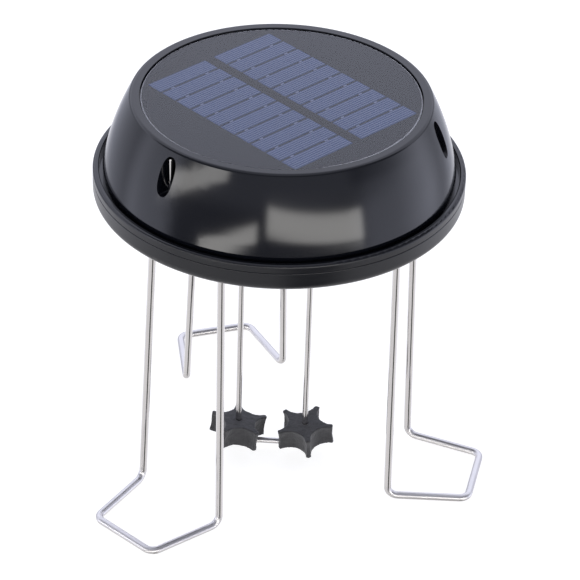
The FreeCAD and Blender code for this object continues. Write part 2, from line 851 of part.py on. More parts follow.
def armature_core():
    """Three poles on a hub: each a neck and a curved tip."""
    bottom = core_z()
    top = bottom + core_height
    rim = ring(core_radius, core_radius - core_pole_tip, bottom, top)
    necks = []
    slots = []
    for i in range(3):
        neck = Part.makeBox(core_radius - 0.5, core_pole_neck, core_height,
                            Vector(0, -core_pole_neck / 2, bottom))
        slot = Part.makeBox(core_radius + 1, core_slot_width, core_height + 2,
                            Vector(0, -core_slot_width / 2, bottom - 1))
        necks.append(about_axis(neck, i * 120))
        slots.append(about_axis(slot, i * 120 + 60))
    core = rim.cut(slots).fuse(necks + [disc(core_hub_radius, bottom, top)]).removeSplitter()
    return core.cut(disc(shaft_radius + hub_fit_gap, bottom - 1, top + 1))


def armature_windings():
    solids = []
    start = core_hub_radius + 0.5
    end = core_radius
    inner = core_pole_neck + 2 * winding_gap
    outer = inner + 2 * winding_thickness
    bottom = core_z() - winding_thickness
    height = core_height + 2 * winding_thickness
    for i in range(3):
        coil = Part.makeBox(end - start, outer, height, Vector(start, -outer / 2, bottom))
        coil = coil.makeFillet(0.8, [e for e in coil.Edges if abs(e.tangentAt(0).x) > 0.9])
        neck = Part.makeBox(end - start + 2, inner, core_height + 2 * winding_gap,
                            Vector(start - 1, -inner / 2, core_z() - winding_gap))
        sector = Part.makeCylinder(core_radius - core_pole_tip - winding_gap, height + 2,
                                   Vector(0, 0, bottom - 1), UP, 116)
        sector.rotate(ORIGIN, UP, -58)
        solids.append(about_axis(coil.cut(neck).common(sector), i * 120))
    return Part.makeCompound(solids)


def commutator():
    bottom = core_z() + core_height + winding_thickness + commutator_above_windings
    full = ring(commutator_radius, shaft_radius + hub_fit_gap, bottom, bottom + commutator_length)
    solids = []
    for i in range(3):
        wedge = Part.makeCylinder(commutator_radius + 1, commutator_length + 2,
                                  Vector(0, 0, bottom - 1), UP, 120 - commutator_slit_angle)
        wedge.rotate(ORIGIN, UP, i * 120)
        solids.append(full.common(wedge))
    return Part.makeCompound(solids)


def motor_shaft():
    bottom = hub_top_z - hub_shaft_depth
    return disc(shaft_radius, bottom, motor_top_z + 0.6)


def motor_clamp():
    """A flat strap over the motor, screwed to the two tall posts."""
    half = clamp_post_place
    top = motor_top_z + clamp_thickness
    strap = block(2 * half, clamp_width, motor_top_z, top)
    ends = [disc(clamp_width / 2, motor_top_z, top, side * half, 0) for side in (-1, 1)]
    centre = disc(clamp_opening_radius + clamp_ring_width, motor_top_z, top)
    holes = [disc(clamp_opening_radius, motor_top_z - 1, top + 1)]
    for side in (-1, 1):
        holes.append(disc(small_screw_radius + 2 * screw_gap, motor_top_z - 1, top + 1, side * half, 0))
    return strap.fuse(ends + [centre]).removeSplitter().cut(holes)


def small_screw(seat, direction, x, y, length=small_screw_length):
    return screw(small_screw_radius, small_head_radius, small_head_height, length, seat, direction, x, y)


def clamp_screws():
    top = motor_top_z + clamp_thickness
    return Part.makeCompound([small_screw(top, -1, side * clamp_post_place, 0) for side in (-1, 1)])


def shaft_seal():
    bottom = collar_z + seal_recess
    bore = shaft_radius + seal_bore_gap
    body = ring(seal_radius - hub_fit_gap, bore, bottom, collar_z + seal_height)
    lip = ring(bore + 0.3, shaft_radius + seal_lip_gap, bottom, bottom + seal_lip_height)
    return body.fuse(lip).removeSplitter()


# ---- hub and agitator ----------------------------------------------------------------------------
def wire_ends():
    return [polar(agitator_spread, agitator_angle + half_turn) for half_turn in (0, 180)]


def rotor_hub():
    """Round plate with a middle boss for the shaft and two bosses for the agitator's ends."""
    plate = disc(hub_radius, hub_top_z - hub_plate_thickness, hub_top_z)
    plate = round_circles(plate, hub_edge_round,
                          [(hub_radius, hub_top_z), (hub_radius, hub_top_z - hub_plate_thickness)])
    solids = [disc(hub_boss_radius, hub_z, hub_top_z)]
    holes = [disc(shaft_radius + hub_fit_gap, hub_top_z - hub_shaft_depth - 0.3, hub_top_z + 1)]
    for place in wire_ends():
        solids.append(disc(hub_wire_boss_radius, hub_z, hub_top_z, place.x, place.y))
        holes.append(disc(agitator_wire_diameter / 2 + socket_gap, hub_z - 1,
                          hub_z + agitator_depth + 0.3, place.x, place.y))
    long_rib = block(2 * agitator_spread, hub_rib_width, hub_z + 1.2, hub_top_z)
    cross_rib = block(hub_rib_width, 2 * (hub_radius - 2.5), hub_z + 2.6, hub_top_z)
    solids.append(about_axis(long_rib, agitator_angle))
    solids.append(about_axis(cross_rib, agitator_angle))
    grub_hole = Part.makeCylinder(grub_radius + screw_gap, hub_boss_radius + 2,
                                  Vector(0, 0, grub_z()), polar(1, grub_angle()))
    return plate.fuse(solids).removeSplitter().cut(holes + [grub_hole])


def grub_z():
    return hub_z + 3.4


def grub_angle():
    return agitator_angle + 45


def hub_grub_screw():
    start = shaft_radius + 0.02
    along = polar(1, grub_angle())
    body = Part.makeCylinder(grub_radius, grub_length, along * start + Vector(0, 0, grub_z()), along)
    key = Part.makeCylinder(grub_radius * 0.5, 1.2,
                            along * (start + grub_length - 1.2) + Vector(0, 0, grub_z()), along)
    return body.cut(key)


def agitator_path(diameter):
    top = hub_z + agitator_depth
    points = [Vector(-agitator_spread, 0, top), Vector(-agitator_spread, 0, crossbar_z),
              Vector(agitator_spread, 0, crossbar_z), Vector(agitator_spread, 0, top)]
    return rod(points, diameter, [agitator_bend] * 2)


def agitator_wire():
    return about_axis(agitator_path(agitator_wire_diameter), agitator_angle)


def star_outline(turn):
    """Five blunt points joined by hollow arcs."""
    edges = []
    step = 360.0 / star_points
    for i in range(star_points):
        here = turn + i * step
        half_tip = polar(star_tip_width / 2, here + 90)
        next_half_tip = polar(star_tip_width / 2, here + step + 90)
        tip_end = polar(star_radius, here).add(half_tip)
        next_start = polar(star_radius, here + step).sub(next_half_tip)
        edges.append(Part.makeLine(polar(star_radius, here).sub(half_tip), tip_end))
        edges.append(Part.Arc(tip_end, polar(star_waist, here + step / 2), next_start).toShape())
    return Part.Wire(edges)


def star(side, turn, tilt):
    """A foam star on one upright of the agitator, cut through by the wire."""
    lean, lean_direction = tilt
    low = Vector(0, 0, -star_thickness / 2)
    body = Part.Face(star_outline(turn)).extrude(Vector(0, 0, star_thickness))
    upright = [e for e in body.Edges if e.Length < star_thickness + 0.01
               and abs(e.tangentAt(e.FirstParameter).z) > 0.99]
    body = body.makeFillet(star_tip_round, upright)
    body.translate(low)
    body.rotate(ORIGIN, polar(1, lean_direction + 90), lean)
    body.translate(Vector(side * agitator_spread, 0, star_height))
    grip = agitator_path(agitator_wire_diameter + 2 * star_grip_gap)
    return about_axis(body.cut(grip), agitator_angle)


# ---- batteries -----------------------------------------------------------------------------------
def battery_y(index):
    return battery_room_y + (index - 0.5) * battery_pitch


def battery(index):
    """A round cell lying along X, with its raised cap on alternate ends."""
    along = Vector(1 - 2 * index, 0, 0)
    start = Vector(-along.x * (battery_length + battery_cap_height) / 2, battery_y(index), battery_z)
    can = Part.makeCylinder(cell_diameter / 2, battery_length, start, along)
    ends = [e for e in can.Edges if isinstance(e.Curve, Part.Circle)]
    can = can.makeFillet(0.6, ends)
    cap = Part.makeCylinder(battery_cap_radius, battery_length + battery_cap_height, start, along)
    return can.fuse(cap).removeSplitter()


def battery_contacts():
    """Plates at both ends of the room.  The far one joins the cells; the others have solder tabs."""
    low = battery_z - 5.0
    high = battery_z + 5.0
    solids = [block(contact_thickness, battery_pitch + 9.0, low, high, contact_x(), battery_room_y)]
    for index in range(2):
        plate = block(contact_thickness, 9.0, low, high, -contact_x(), battery_y(index))
        tab = block(contact_thickness, contact_tab_width, high - 1, contact_tab_z(), -contact_x(),
                    battery_y(index))
        solids.append(plate.fuse(tab).removeSplitter())
    return Part.makeCompound(solids)


def battery_springs():
    """Coned spiral springs that press on the cells' flat ends."""
    solids = []
    room = battery_end_room - contact_thickness - contact_gap
    for index in range(2):
        outward = -1 + 2 * index
        inner_face = outward * (battery_room_length / 2 - contact_thickness - contact_gap)
        toward = Vector(-outward, 0, 0)
        start = Vector(inner_face, battery_y(index), battery_z)
        turns = []
        for turn_radius, depth in ((spring_radius, 0.0), (spring_radius * 0.68, 0.5),
                                   (spring_radius * 0.4, 0.95)):
            middle = start + toward * (depth * (room - spring_wire) + spring_wire / 2)
            turns.append(Part.makeTorus(turn_radius, spring_wire / 2, middle, toward))
        solids.extend(turns)
    return Part.makeCompound(solids)


def battery_door():
    plate = rounded_block(door_length - 2 * door_gap, door_depth - 2 * door_gap, underside_z,
                          underside_z + door_thickness, door_corner - door_gap, 0, door_y)
    grips = []
    for i in range(5):
        grips.append(block(16.0, 0.8, underside_z - 1, underside_z + 0.5, 0,
                           door_y + (i - 2) * 2.2))
    holes = []
    for side in (-1, 1):
        holes.append(disc(small_screw_radius + 2 * screw_gap, underside_z - 1,
                          underside_z + 5, side * door_screw_x, door_screw_y))
        holes.append(disc(small_head_radius + head_gap, underside_z - 1,
                          underside_z + door_head_recess, side * door_screw_x, door_screw_y))
    return plate.cut(grips + holes)


def battery_door_seal():
    bottom = underside_z + door_thickness
    outer = rounded_block(battery_room_length + 2 * door_seal_width,
                          battery_room_depth + 2 * door_seal_width, bottom,
                          bottom + door_seal_thickness, door_seal_width, 0, battery_room_y)
    inner = block(battery_room_length + 2 * door_gap, battery_room_depth + 2 * door_gap, bottom - 1,
                  bottom + 2, 0, battery_room_y)
    return outer.cut(inner)


def battery_door_screws():
    seat = underside_z + door_head_recess
    return Part.makeCompound([small_screw(seat, 1, side * door_screw_x, door_screw_y, 4.6)
                              for side in (-1, 1)])


# ---- control board and switch --------------------------------------------------------------------
def control_top():
    return control_z + control_thickness


def control_board():
    board = rounded_block(control_length, control_depth, control_z, control_top(), 1.0, 0, control_y)
    holes = [disc(small_screw_radius + 2 * screw_gap, control_z - 1, control_top() + 1,
                  side * control_post_spacing / 2, control_y) for side in (-1, 1)]
    return board.cut(holes)


def control_screws():
    return Part.makeCompound([small_screw(control_top(), -1, side * control_post_spacing / 2,
                                          control_y, 4.0) for side in (-1, 1)])


def control_chip():
    body = block(6.0, 4.0, control_top() + 0.2, control_top() + 1.7, -3.0, control_y - 5.0)
    feet = []
    for side in (-1, 1):
        for i in range(4):
            feet.append(block(0.4, 1.2, control_top(), control_top() + 0.5,
                              -5.0 + i * 1.27, control_y - 5.0 + side * 2.4))
    return body.fuse(feet).removeSplitter()


def control_capacitor():
    can = disc(3.2, control_top(), control_top() + 8.0, 4.5, control_y + 4.0)
    return round_circles(can, 0.5, [(3.2, control_top() + 8.0)])


def control_coil():
    low = disc(3.0, control_top(), control_top() + 1.0, 5.0, control_y - 5.0)
    waist = disc(1.8, control_top(), control_top() + 4.0, 5.0, control_y - 5.0)
    high = disc(3.0, control_top() + 3.2, control_top() + 4.0, 5.0, control_y - 5.0)
    return low.fuse([waist, high]).removeSplitter()


def slider_slot_length():
    return slider_length + switch_travel + 2 * slider_gap


def slider_middle_x():
    return switch_x


def slider_rest_x():
    return switch_x - switch_travel / 2


def switch_body():
    body = block(switch_length, switch_width, floor_z, floor_z + switch_body_height,
                 switch_x, switch_y)
    cavity = block(switch_length - 2 * switch_wall, switch_width - 2 * switch_wall, floor_z - 1,
                   floor_z + switch_cavity_height, switch_x, switch_y)
    return body.cut(cavity)


def switch_slider():
    """Thumb slider: a ribbed knob in the recess, a stem and a flange inside the switch."""
    knob_z = underside_z + 0.2
    flange_z = floor_z + slider_gap
    stem = block(slider_length, slider_width, knob_z, flange_z + 1.4, slider_rest_x(), switch_y)
    flange = block(slider_length + 2 * slider_flange, slider_width + 2 * slider_flange, flange_z,
                   flange_z + 1.4, slider_rest_x(), switch_y)
    ribs = [block(0.5, slider_width + 1, knob_z - 1, knob_z + 0.35,
                  slider_rest_x() + (i - 1) * 1.1, switch_y) for i in range(3)]
    return stem.fuse(flange).removeSplitter().cut(ribs)


def switch_terminals():
    top = floor_z + switch_body_height
    return Part.makeCompound([block(0.5, 1.6, top, top + 3.0, switch_x + i * 4.0, switch_y)
                              for i in (-1, 0, 1)])


# ---- leads ---------------------------------------------------------------------------------------
def panel_lead(side):
    """From a pad under the panel down to the control board."""
    pad_x = side * pad_spacing / 2
    end_x = side * 12.5
    end_y = control_y + 8.5
    start = board_z - pad_thickness
    middle = (start + control_top()) / 2
    return lead([(pad_x, control_y, start), (pad_x, control_y, start - 6.0),
                 (side * 9.0, control_y + 5.0, middle + 2.0), (end_x, end_y, middle - 3.0),
                 (end_x, end_y, control_top())], lead_diameter)


def motor_lead(side):
    """From a motor tab, over the clamp, to the control board's near edge."""
    tab_x = side * (terminal_place() + terminal_thickness / 2 + lead_diameter / 2)
    top = motor_top_z + terminal_height
    near = control_y - control_depth / 2 + 2.0
    end_x = side * 11.0
    return lead([(tab_x, 0, motor_top_z + clamp_thickness + 0.4), (tab_x, 0, top + 2.0),
                 (tab_x + side, 7.0, top + 5.5), (side * 10.5, near - 7.0, top + 1.0),
                 (end_x, near, top - 7.0), (end_x, near, control_top())], lead_diameter)


def battery_lead(index):
    """From a tab on the battery box's roof, past the motor's left, to the control board."""
    tab_z = contact_tab_z()
    tab_y = battery_y(index)
    beside = -(clamp_post_place + clamp_width / 2 + 9.5 - index * 3.0)
    end_x = -13.4 + index * 4.8
    end_y = control_y - 5.0 + index * 0.5
    high = motor_top_z + 3.0 + index * 2.0
    return lead([(-contact_x(), tab_y, tab_z), (-contact_x(), tab_y, tab_z + 5.0),
                 (beside + 1.0, tab_y + 17.0, high + 1.0), (beside, tab_y + 36.0, high + 0.6),
                 (beside + 11.0, control_y - 11.0 - index, high - 3.0),
                 (end_x, end_y, control_top() + 9.5 + index), (end_x, end_y, control_top())],
                lead_diameter)


def switch_lead(index):
    """From a switch tab to the control board's left edge."""
    tab_x = switch_x + (index - 1) * 4.0 + 0.25 + lead_diameter / 2
    top = floor_z + switch_body_height
    end_x = -13.4 + index * 4.9
    end_y = control_y + 4.6 - index * 0.5
    return lead([(tab_x, switch_y, top + 0.3), (tab_x, switch_y, top + 7.5 - index),
                 (tab_x + 8.5, switch_y + 6.0 - index * 2.0, top + 12.0 - index * 2.5),
                 (end_x - 8.5, end_y - 4.5 - index, top + 12.0 - index * 3.0),
                 (end_x, end_y, control_top() + 8.6 - index), (end_x, end_y, control_top())],
                lead_diameter)


# ---- write the nodes -----------------------------------------------------------------------------
os.makedirs("parts", exist_ok=True)

save("top_shell", top_shell())
save("base_cover", base_cover())
save("housing_seal", housing_seal())
save("housing_screws", housing_screws())
save("panel_cover", panel_cover())
save("solar_cells", solar_cells())
save("cell_ribbons", cell_ribbons())
save("panel_board", panel_board())
save("panel_adhesive", panel_adhesive())
save("panel_pads", panel_pads())
save("tie_pegs", tie_pegs())
for name, angle in zip(("leg_rear", "leg_left", "leg_right"), leg_angles):
    save(name, about_axis(leg(), angle))

save("motor_can", motor_can())
save("motor_bush_lower", bush(floor_z))
save("motor_bush_upper", bush(motor_top_z - bush_length))
save("motor_end_cap", motor_end_cap())
save("motor_terminals", motor_terminals())
save("motor_brushes", motor_brushes())
save("motor_magnets", motor_magnets())
save("motor_clamp", motor_clamp())
save("clamp_screws", clamp_screws())
save("shaft_seal", shaft_seal())

save("motor_shaft", motor_shaft())
save("armature_core", armature_core())
save("armature_windings", armature_windings())
save("commutator", commutator())
save("rotor_hub", rotor_hub())
save("hub_grub_screw", hub_grub_screw())
save("agitator_wire", agitator_wire())
save("star_left", star(-1, star_left_turn, star_left_tilt))
save("star_right", star(1, star_right_turn, star_right_tilt))

save("battery_front", battery(0))
save("battery_back", battery(1))
save("battery_contacts", battery_contacts())
save("battery_springs", battery_springs())
save("battery_door", battery_door())
save("battery_door_seal", battery_door_seal())
save("battery_door_screws", battery_door_screws())

save("control_board", control_board())
save("control_screws", control_screws())
save("control_chip", control_chip())
save("control_capacitor", control_capacitor())
save("control_coil", control_coil())
save("switch_body", switch_body())
save("switch_slider", switch_slider())
save("switch_terminals", switch_terminals())

for side, name in ((-1, "left"), (1, "right")):
    save("panel_lead_" + name, panel_lead(side))
    save("motor_lead_" + name, motor_lead(side))
for index, name in ((0, "front"), (1, "back")):
    save("battery_lead_" + name, battery_lead(index))
    save("switch_lead_" + name, switch_lead(index))
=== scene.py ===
import math

import bpy
from mathutils import Matrix, Quaternion, Vector, noise
from mathutils.bvhtree import BVHTree


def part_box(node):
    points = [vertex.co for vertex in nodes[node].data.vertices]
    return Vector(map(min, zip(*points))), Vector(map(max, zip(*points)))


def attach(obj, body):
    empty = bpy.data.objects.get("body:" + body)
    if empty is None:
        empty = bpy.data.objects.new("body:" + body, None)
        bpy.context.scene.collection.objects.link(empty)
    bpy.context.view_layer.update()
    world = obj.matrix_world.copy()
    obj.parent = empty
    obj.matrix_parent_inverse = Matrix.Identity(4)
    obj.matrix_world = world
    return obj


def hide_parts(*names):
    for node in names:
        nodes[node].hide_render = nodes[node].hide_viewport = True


# A solar bird-bath agitator: gloss black housing with a round solar panel, three bent wire legs,
# and a wire agitator that carries two foam stars.  Metres; +Z is up; the feet stand on z = 0.

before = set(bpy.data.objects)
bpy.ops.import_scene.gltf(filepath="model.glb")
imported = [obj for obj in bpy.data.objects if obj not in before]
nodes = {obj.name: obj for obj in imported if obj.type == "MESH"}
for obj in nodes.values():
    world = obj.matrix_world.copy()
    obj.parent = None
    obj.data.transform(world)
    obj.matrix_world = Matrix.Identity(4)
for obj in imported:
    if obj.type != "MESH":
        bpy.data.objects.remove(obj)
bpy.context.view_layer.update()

MM = 0.001

# ---- camera and stage ----------------------------------------------------------------------------
CAMERA_AIM = (0.0171, 0.0332, 0.0552)
CAMERA_DISTANCE = 1.194
CAMERA_AZIMUTH = -18.3           # 0 looks along +Y
CAMERA_ELEVATION = 33.71
CAMERA_ROLL = 1.96
CAMERA_LENS = 174.85
CAMERA_SENSOR = 36.0
FLOOR_RADIUS = 3.0
FLOOR_DROP = 0.02 * MM           # floor to the lowest wire
FLOOR_GLOW = 0.85
BACKDROP_RADIUS = 4.0

# Soft light as azimuth, elevation, width, height, softness of the edge (degrees), brightness, and
# how far the panel of light climbs per degree of azimuth.
BRIGHT_BOXES = [
    (-84.5, 0.8, 60.0, 13.0, 4.0, 5.0, -0.143),      # strip in front
    (-166.5, 11.5, 46.0, 9.0, 4.0, 4.2, 0.50),       # left, slanting up to the front
    (-138.5, -7.5, 36.0, 8.5, 4.0, 5.2, 0.36),       # low, left of the front
]
FILL_BOXES = [
    (-23.0, -7.0, 66.0, 32.0, 22.0, 1.0, 0.0),       # right
    (12.0, -12.0, 60.0, 46.0, 28.0, 0.45, 0.0),      # right, behind
    (163.0, -3.0, 38.0, 46.0, 16.0, 0.95, 0.0),      # left, behind
    (92.0, -5.0, 110.0, 60.0, 30.0, 0.45, 0.0),      # behind
    (72.0, 38.0, 150.0, 44.0, 14.0, 0.95, 0.0),      # behind and above
    (-113.0, 19.0, 110.0, 22.0, 12.0, 0.25, 0.0),    # in front, above
]
AMBIENT = 0.22
OVERHEAD = 0.5
OVERHEAD_RISE = (45.0, 75.0)     # elevations between which it fades in
FLOOR_SHINE = 0.62               # what polished parts see where they face the floor
FLOOR_RISE = (-30.0, -20.0)      # elevations between which that fades out
FLOOR_GAP = (-85.0, 34.0, 6.0)   # dark gap in that: azimuth, width and softness of its edge
FLOOR_GAP_DEPTH = 0.92
COOL_LIGHT = (0.95, 0.98, 1.16)
WARM_LIGHT = (1.02, 1.0, 0.97)

# ---- solar cells ---------------------------------------------------------------------------------
PANEL_TURN = math.radians(-64.0)
CELL_COLUMNS = 10
CELL_ROWS = 2
CELL_PITCH = 8.53 * MM
CELL_LENGTH = 29.9 * MM
CELL_ROW_GAP = 4.9 * MM
CELL_EDGE = (0.28, 0.44)         # where a cell darkens: pitches from its middle
ABOVE_ZERO = 100.0               # whole pitches added so that none is negative
FINGERS_PER_CELL = 6
FINGER_PITCH = 1.2 * MM
FINGER_WIDTH = 0.32 * MM
FINGER_HEIGHT = 0.02 * MM
FINGER_BEVEL = 0.3 * FINGER_HEIGHT
FINGER_MARGIN = 0.35 * MM        # end of a finger to the end of its cell
COVER_TINT = 0.85                # share of light that the panel's cover lets through

# ---- foam stars ----------------------------------------------------------------------------------
FOAM_VOXEL = 0.3 * MM
FOAM_PINCH = 0.4 * MM            # how far a cut wall draws in at half thickness
FOAM_SKIN = 0.16 * MM            # unevenness of the skin
FOAM_LUMP = 2.6 * MM             # size of its larger lumps
FOAM_PIT = 0.9 * MM              # size of its smaller ones
FOAM_CLEARANCE = 0.03 * MM       # foam to the wire that it grips
WIRE_REACH = 2.0 * MM            # how far the wire is looked for
FACES_UP = 0.9                   # upward share of a normal that belongs to a star's top
WELD_GAP = 0.001 * MM            # corners closer than this are joined

# ---- surfaces ------------------------------------------------------------------------------------
DRAG_RISE = (0.7 * MM, 0.3 * MM)     # depth under the housing's widest wall where drag lines fade in
PEEL_DEPTH = 0.0012 * MM             # orange peel on polished plastic
GRAIN_DEPTH = 0.016 * MM             # spark-eroded grain
GRAIN_REACH = 0.1 * MM               # how far the grain goes up from the underside
GRAIN_FADE = 0.05 * MM
WIRE_GRAIN = 0.004 * MM              # depth of die lines and turning marks
FOAM_GRAIN = 0.07 * MM
FOOT_RISE = (3.0 * MM, 8.0 * MM)     # heights where a foot's finish turns into an upright's


# ---- shader maths --------------------------------------------------------------------------------
class Value:
    """One output of a shader node.  Arithmetic on it adds Math nodes."""

    def __init__(self, shader, socket):
        self.shader = shader
        self.socket = socket

    def maths(self, operation, *terms):
        return self.shader.node("Math", {"operation": operation}, dict(enumerate(terms)))

    def __add__(self, other):
        return self.maths("ADD", self, other)

    def __sub__(self, other):
        return self.maths("SUBTRACT", self, other)

    def __rsub__(self, other):
        return self.maths("SUBTRACT", other, self)

    def __mul__(self, other):
        return self.maths("MULTIPLY", self, other)

    def __truediv__(self, other):
        return self.maths("DIVIDE", self, other)

    def __abs__(self):
        return self.maths("ABSOLUTE", self)

    __radd__ = __add__
    __rmul__ = __mul__


class Shader:
    """A node tree that is written as expressions."""

    def __init__(self, tree):
        self.tree = tree
        tree.nodes.clear()

    def node(self, kind, settings=None, inputs=None, output=0):
        """Adds a node: its settings first, then values or links for its sockets."""
        made = self.tree.nodes.new("ShaderNode" + kind)
        for name, setting in (settings or {}).items():
            setattr(made, name, setting)
        for name, value in (inputs or {}).items():
            self.feed(made.inputs[name], value)
        return Value(self, made.outputs[output]) if len(made.outputs) else made

    def feed(self, socket, value):
        if isinstance(value, Value):
            self.tree.links.new(value.socket, socket)
        elif isinstance(value, tuple) and len(value) == 3 and socket.type == "RGBA":
            socket.default_value = (*value, 1.0)
        else:
            socket.default_value = value

    def split(self, vector):
        made = self.node("SeparateXYZ", inputs={0: vector})
        return [Value(self, output) for output in made.socket.node.outputs]

    def dot(self, vector, direction):
        return self.node("VectorMath", {"operation": "DOT_PRODUCT"}, {0: vector, 1: direction},
                         "Value")

    def fade(self, value, low, high):
        """0 at low and before it, 1 at high and past it, with soft ends."""
        return self.node("MapRange", {"interpolation_type": "SMOOTHSTEP"},
                         {"Value": value, "From Min": low, "From Max": high})

    def mix(self, share, first, second):
        """Two colours."""
        return self.node("Mix", {"data_type": "RGBA"}, {0: share, 6: first, 7: second}, 2)


class Finish(Shader):
    """A material that is being built, patterned in the model's own coordinates."""

    def __init__(self, name):
        self.material = bpy.data.materials.new(name)
        self.material.use_nodes = True
        super().__init__(self.material.node_tree)
        self.place = self.node("TexCoord", output="Object")

    def turned(self, angle=0.0, scale=(1.0, 1.0, 1.0)):
        """The coordinates turned about Z, then stretched."""
        turn = self.node("Mapping", inputs={0: self.place, "Rotation": (0.0, 0.0, angle)})
        return self.node("Mapping", inputs={0: turn, "Scale": scale})

    def noise(self, scale, detail=2.0, roughness=0.5, vector=None):
        return self.node("TexNoise", inputs={"Vector": vector or self.place, "Scale": scale,
                                             "Detail": detail, "Roughness": roughness})

    def grains(self, scale, vector=None):
        return self.node("TexVoronoi", inputs={"Vector": vector or self.place, "Scale": scale})

    def bump(self, height, distance):
        return self.node("Bump", inputs={"Strength": 1.0, "Distance": distance, "Height": height})

    def principled(self, inputs):
        return self.node("BsdfPrincipled", inputs=inputs)

    def done(self, surface):
        self.node("OutputMaterial", inputs={"Surface": surface})
        return self.material


# ---- finishes ------------------------------------------------------------------------------------
def gloss_plastic(name, dark, light, grain_below=None):
    """Polished moulded plastic.  The outer wall has fine level drag lines, and faces lower than
    grain_below have a spark-eroded grain."""
    f = Finish(name)
    polish = f.noise(26.0, 3.0)
    peel = f.noise(700.0, 2.0)
    hairline = f.noise(1.0, 3.0, 0.6, f.turned(scale=(900.0, 900.0, 60.0)))
    across, along, up = f.split(f.place)
    radius = f.node("Math", {"operation": "SQRT"}, {0: across * across + along * along})
    drag = f.noise(1.0, 4.0, 0.65, f.turned(scale=(45.0, 45.0, 2600.0)))
    wall = f.fade(radius, *(WALL_RADIUS - depth for depth in DRAG_RISE))
    roughness = 0.09 + 0.04 * polish + 0.03 * hairline + wall * (0.11 + 0.14 * drag)
    height = peel + 0.25 * hairline + wall * 2.0 * drag
    depth = PEEL_DEPTH
    if grain_below is not None:
        grained = 1 - f.fade(up, grain_below, grain_below + GRAIN_FADE)
        grain = f.grains(3400.0) + 0.6 * f.noise(5200.0, 2.0)
        roughness = roughness + 0.36 * grained
        height = height * depth / MM + grain * grained * (GRAIN_DEPTH / MM)
        depth = MM
    return f.done(f.principled({
        "Base Color": f.mix(polish, dark, light),
        "Roughness": roughness,
        "IOR": 1.5,
        "Normal": f.bump(height, depth)}))


def moulded(name, dark, light, roughness, grain_depth=0.01 * MM, metal=0.0):
    """A plain worked surface: two near tones, uneven polish and a fine grain."""
    f = Finish(name)
    tone = f.noise(140.0, 4.0, 0.6)
    grain = f.noise(2200.0, 3.0, 0.6)
    return f.done(f.principled({
        "Base Color": f.mix(tone, dark, light),
        "Roughness": roughness - 0.06 + 0.12 * grain,
        "Metallic": metal,
        "Normal": f.bump(grain, grain_depth)}))


def drawn_wire(name):
    """Bright drawn stainless wire: die lines up the uprights, random scuffs on the feet."""
    f = Finish(name)
    up = f.split(f.place)[2]
    die_lines = f.noise(1.0, 4.0, 0.65, f.turned(scale=(3000.0, 3000.0, 40.0)))
    scuffs = f.noise(1600.0, 4.0, 0.6)
    upright = f.fade(up, *FOOT_RISE)
    lines = die_lines * upright + scuffs * (1 - upright)
    tone = f.noise(70.0, 3.0)
    return f.done(f.principled({
        "Base Color": f.mix(tone, (0.69, 0.672, 0.66), (0.77, 0.752, 0.74)),
        "Roughness": 0.08 + 0.10 * lines + 0.26 * (1 - upright),
        "Metallic": 1.0,
        "Normal": f.bump(lines, WIRE_GRAIN)}))


def plated(name, dark, light, roughness):
    """Plated metal with fine turning marks round Z."""
    f = Finish(name)
    marks = f.noise(1.0, 3.0, 0.6, f.turned(scale=(500.0, 500.0, 4000.0)))
    tone = f.noise(220.0, 3.0)
    return f.done(f.principled({
        "Base Color": f.mix(tone, dark, light),
        "Roughness": roughness + 0.14 * marks,
        "Metallic": 1.0,
        "Normal": f.bump(marks, WIRE_GRAIN)}))


def foam(name):
    """Closed-cell foam: pitted skin with faint lines from the slicing blade."""
    f = Finish(name)
    blotch = f.noise(260.0, 4.0, 0.6)
    pits = f.grains(2300.0)
    slices = f.noise(1.0, 2.0, 0.5, f.turned(math.radians(35.0), (2400.0, 180.0, 180.0)))
    height = 0.7 * pits + 0.5 * slices + 0.5 * f.noise(5200.0, 2.0)
    return f.done(f.principled({
        "Base Color": f.mix(0.5 * blotch + 0.5 * slices, (0.014, 0.014, 0.015),
                            (0.060, 0.059, 0.062)),
        "Roughness": 0.84 + 0.1 * pits,
        "Sheen Weight": 0.25,
        "Sheen Roughness": 0.6,
        "Normal": f.bump(height, FOAM_GRAIN)}))


def silicon(name):
    """Thin dark blue cells: brighter crystals, darker towards the long edges."""
    f = Finish(name)
    crystals = f.node("TexVoronoi", inputs={"Vector": f.turned(-PANEL_TURN, (1.0, 0.25, 1.0)),
                                            "Scale": 900.0}, output="Color")
    shade = f.dot(crystals, (0.5, 0.3, 0.2))
    across = f.split(f.turned(-PANEL_TURN))[0]
    pitches = across / CELL_PITCH + ABOVE_ZERO
    place = abs(f.node("Math", {"operation": "FRACT"}, {0: pitches}) - 0.5)
    edge = f.fade(place, *CELL_EDGE)
    tone = 0.35 * shade + 0.35 * f.noise(48.0, 2.0) + 0.3 * (1 - edge)
    return f.done(f.principled({
        "Base Color": f.mix(tone, (0.045, 0.095, 0.24), (0.075, 0.145, 0.36)),
        "Roughness": 0.5 + 0.1 * shade,
        "Specular IOR Level": 0.0}))


def silver_print(name):
    """Fine fired lines on the cells, paler than the silicon."""
    f = Finish(name)
    tone = f.noise(900.0, 3.0, 0.6)
    return f.done(f.principled({
        "Base Color": f.mix(tone, (0.28, 0.34, 0.56), (0.36, 0.42, 0.66)),
        "Roughness": 0.6 + 0.1 * tone,
        "Specular IOR Level": 0.0}))


def matt_board(name):
    """The dark board under the cells, with the faint weave of its glass cloth."""
    f = Finish(name)
    weave = f.noise(1.0, 2.0, 0.5, f.turned(-PANEL_TURN, (1800.0, 1800.0, 400.0)))
    tone = 0.5 * weave + 0.5 * f.noise(60.0, 3.0)
    return f.done(f.principled({
        "Base Color": f.mix(tone, (0.004, 0.006, 0.007), (0.008, 0.010, 0.012)),
        "Roughness": 0.6 + 0.1 * weave,
        "Specular IOR Level": 0.0}))


